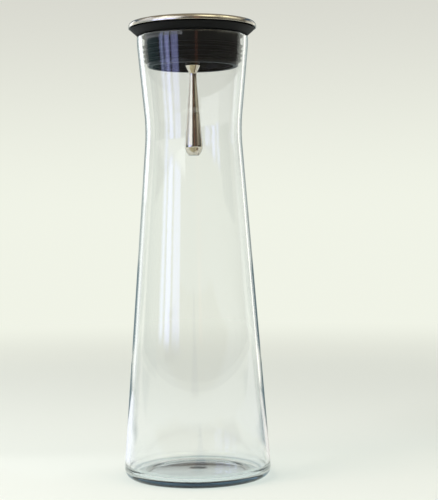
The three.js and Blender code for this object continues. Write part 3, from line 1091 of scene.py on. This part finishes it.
def addWorld():
    world = bpy.data.worlds.new("studio")
    bpy.context.scene.world = world
    world.use_nodes = True
    tree = world.node_tree
    tree.nodes.clear()
    shown = addNode(tree, "ShaderNodeBackground", Strength=1.0)
    lighting = addNode(tree, "ShaderNodeBackground", Color=studio["worldColour"])
    lighting.inputs["Strength"].default_value = studio["worldLevel"]
    out = addNode(tree, "ShaderNodeOutputWorld")
    backdropColour(tree, shown.inputs["Color"])
    both = mixedShaders(tree, seenDirectly(tree), lighting.outputs[0], shown.outputs[0])
    tree.links.new(both, out.inputs["Surface"])


def addFloor():
    bm = bmesh.new()
    bmesh.ops.create_circle(
        bm, cap_ends=True, cap_tris=False, segments=96, radius=studio["floorRadius"],
    )
    floor = asObject("floor", bm)
    material, tree, shader, place = newMaterial("paleFloor")
    shader.inputs["Base Color"].default_value = studio["floor"]
    shader.inputs["Roughness"].default_value = studio["floorRoughness"]
    shader.inputs["Specular IOR Level"].default_value = 0.25
    far = addNode(tree, "ShaderNodeEmission", Color=studio["backdrop"], Strength=1.0)
    reach = addNode(tree, "ShaderNodeVectorMath", operation="LENGTH")
    fade = addNode(tree, "ShaderNodeMapRange", interpolation_type="SMOOTHSTEP")
    fade.inputs["From Min"].default_value = studio["blend"][0]
    fade.inputs["From Max"].default_value = studio["blend"][1]
    link = tree.links.new
    link(place.outputs["Object"], reach.inputs[0])
    link(reach.outputs["Value"], fade.inputs["Value"])
    amount = calculated(tree, "MULTIPLY", fade.outputs["Result"], seenDirectly(tree))
    both = mixedShaders(tree, amount, shader.outputs[0], far.outputs[0])
    link(both, tree.nodes["Material Output"].inputs["Surface"])
    floor.data.materials.append(material)


def placedAt(azimuth, away, height):
    turn = math.radians(azimuth)
    return Vector((away * math.sin(turn), -away * math.cos(turn), height))


def facing(place, pose):
    towards = studio["aim"] - place
    if pose != "tipped":
        towards.z = 0
    turn = towards.to_track_quat("-Z", "Y")
    if pose == "lying":
        turn = turn @ Quaternion((1, 0, 0), -math.pi / 2)
    return turn


def addLights():
    for light in softLights:
        data = bpy.data.lights.new(light["name"], "AREA")
        data.shape = "RECTANGLE"
        data.size, data.size_y = light["size"]
        data.energy = light["power"]
        data.color = light["colour"]
        item = bpy.data.objects.new(light["name"], data)
        item.location = placedAt(light["azimuth"], light["away"], light["height"])
        item.rotation_euler = facing(item.location, "tipped").to_euler()
        item.visible_camera = False
        item.visible_transmission = False
        item.visible_glossy = False
        bpy.context.scene.collection.objects.link(item)


# How far a point of a card is inside its border, from 0 on the border to 1 where the fading ends
def insideCard(tree, card):
    place = addNode(tree, "ShaderNodeTexCoord")
    split = addNode(tree, "ShaderNodeSeparateXYZ")
    tree.links.new(place.outputs["Object"], split.inputs[0])
    shares = []
    for across, side in zip(split.outputs, card["size"]):
        fade = addNode(
            tree, "ShaderNodeMapRange", interpolation_type="SMOOTHSTEP", To_Min=1.0, To_Max=0.0,
        )
        fade.inputs["From Min"].default_value = side / 2 - card["soft"]
        fade.inputs["From Max"].default_value = side / 2
        tree.links.new(calculated(tree, "ABSOLUTE", across), fade.inputs["Value"])
        shares.append(fade.outputs["Result"])
    return calculated(tree, "MULTIPLY", *shares)


# A glowing surface that shows only in a reflection, and never straight through the glass
def reflectedGlow(name, colour, strength, card=None):
    material = bpy.data.materials.new(name)
    material.use_nodes = True
    tree = material.node_tree
    tree.nodes.remove(tree.nodes["Principled BSDF"])
    path = addNode(tree, "ShaderNodeLightPath")
    clear = addNode(tree, "ShaderNodeBsdfTransparent")
    glow = addNode(tree, "ShaderNodeEmission", Color=colour, Strength=strength)
    shown = calculated(tree, "GREATER_THAN", path.outputs["Glossy Depth"], 0.5)
    if card:
        shown = calculated(tree, "MULTIPLY", shown, insideCard(tree, card))
    both = mixedShaders(tree, shown, clear.outputs[0], glow.outputs[0])
    tree.links.new(both, tree.nodes["Material Output"].inputs["Surface"])
    material.cycles.emission_sampling = "NONE"
    return material


def stageCard(name, bm, material):
    card = asObject(name, bm)
    card.data.materials.append(material)
    for kind in ("camera", "diffuse", "shadow", "volume_scatter"):
        setattr(card, "visible_" + kind, False)
    return card


def addCards():
    for card in cards:
        bm = bmesh.new()
        bmesh.ops.create_grid(bm, x_segments=1, y_segments=1, size=0.5)
        bmesh.ops.scale(bm, verts=bm.verts, vec=(*card["size"], 1))
        colour = (*card["colour"], 1)
        material = reflectedGlow(card["name"], colour, card["glow"], card)
        plane = stageCard(card["name"], bm, material)
        plane.location = placedAt(card["azimuth"], card["away"], card["height"])
        plane.rotation_euler = facing(plane.location, card["pose"]).to_euler()


def aroundRoom(name, radius, bottom, top, colour):
    bm = bmesh.new()
    start = placedAt(-room["halfAngle"], radius, bottom)
    low, high = bm.verts.new(start), bm.verts.new(start + Vector((0, 0, top - bottom)))
    edge = bm.edges.new((low, high))
    bmesh.ops.spin(
        bm, geom=[low, high, edge], cent=(0, 0, 0), axis=(0, 0, 1), dvec=(0, 0, 0),
        angle=math.radians(2 * room["halfAngle"]), steps=48, use_merge=False, use_duplicate=False,
    )
    stageCard(name, bm, reflectedGlow(name, colour, 1.0))


def addRoom():
    cove = room["height"] - room["coveHeight"]
    for bottom, top, colour in room["walls"]:
        aroundRoom("roomWall", room["radius"], bottom, top, colour)
    aroundRoom("roomCove", room["radius"], cove, room["height"], room["cove"])
    bm = bmesh.new()
    bmesh.ops.create_circle(bm, cap_ends=True, cap_tris=False, segments=64, radius=room["radius"])
    bmesh.ops.translate(bm, verts=bm.verts, vec=(0, 0, room["height"]))
    stageCard("roomCeiling", bm, reflectedGlow("roomCeiling", room["ceiling"], 1.0))


addCamera()
addWorld()
addFloor()
addLights()
addCards()
addRoom()
print("studio ready")

glassBody()
stopperCore()
pourCollar()
ribbedSleeve()
retainingRing()
hingePin()
lidCap()
lidPlate()
lidGasket()
stemScrew()
lidStem()
threadedInsert()
stemWasher()
weightStud()
hangingWeight()

bpy.context.scene.view_settings.view_transform = "Standard"
